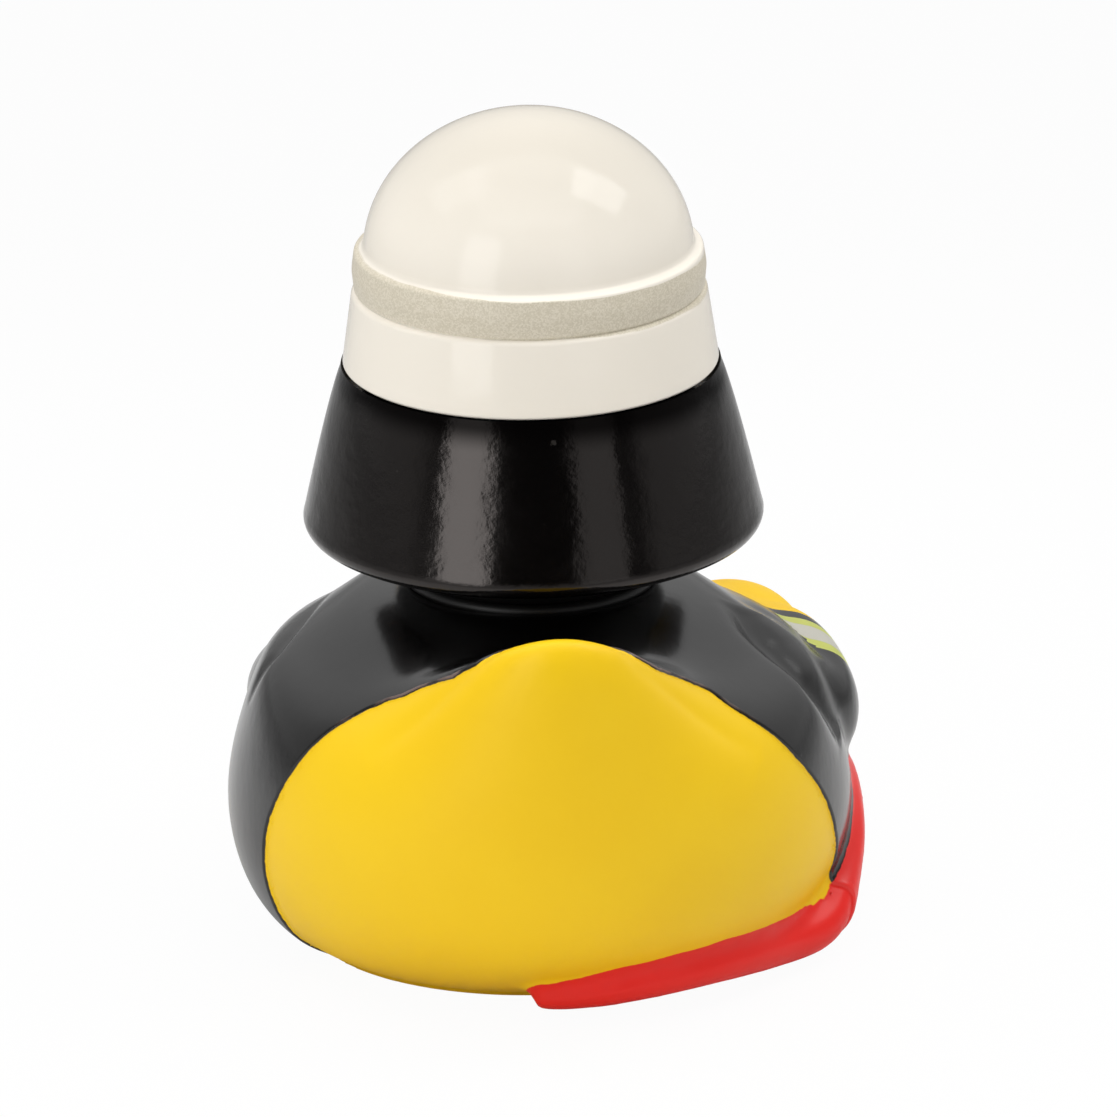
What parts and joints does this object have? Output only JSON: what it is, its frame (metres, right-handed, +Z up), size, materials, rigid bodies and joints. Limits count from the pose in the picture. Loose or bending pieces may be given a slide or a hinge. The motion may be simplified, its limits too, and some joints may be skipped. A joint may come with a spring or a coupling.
{
  "type": "rubber duck",
  "caption": "Hollow squeezable bath toy duck in fire service dress, with a helmet and neck guard and a hose round its base; stands on a flat base.",
  "frame": {"origin": "middle of the part's box on the plane that the base stands on", "axes": "+Z up through the helmet, -Y the way the duck faces, +Y to its tail, +X to its left hand"},
  "size_m": [0.0736, 0.0803, 0.0989],
  "materials": {
    "duck_vinyl": "smooth moulded vinyl, matt yellow, painted parts gloss",
    "squeaker_plastic": "plain moulded, matt"
  },
  "bodies": {
    "root": {"duck": "duck_vinyl", "squeaker": "squeaker_plastic"}
  },
  "joints": []
}
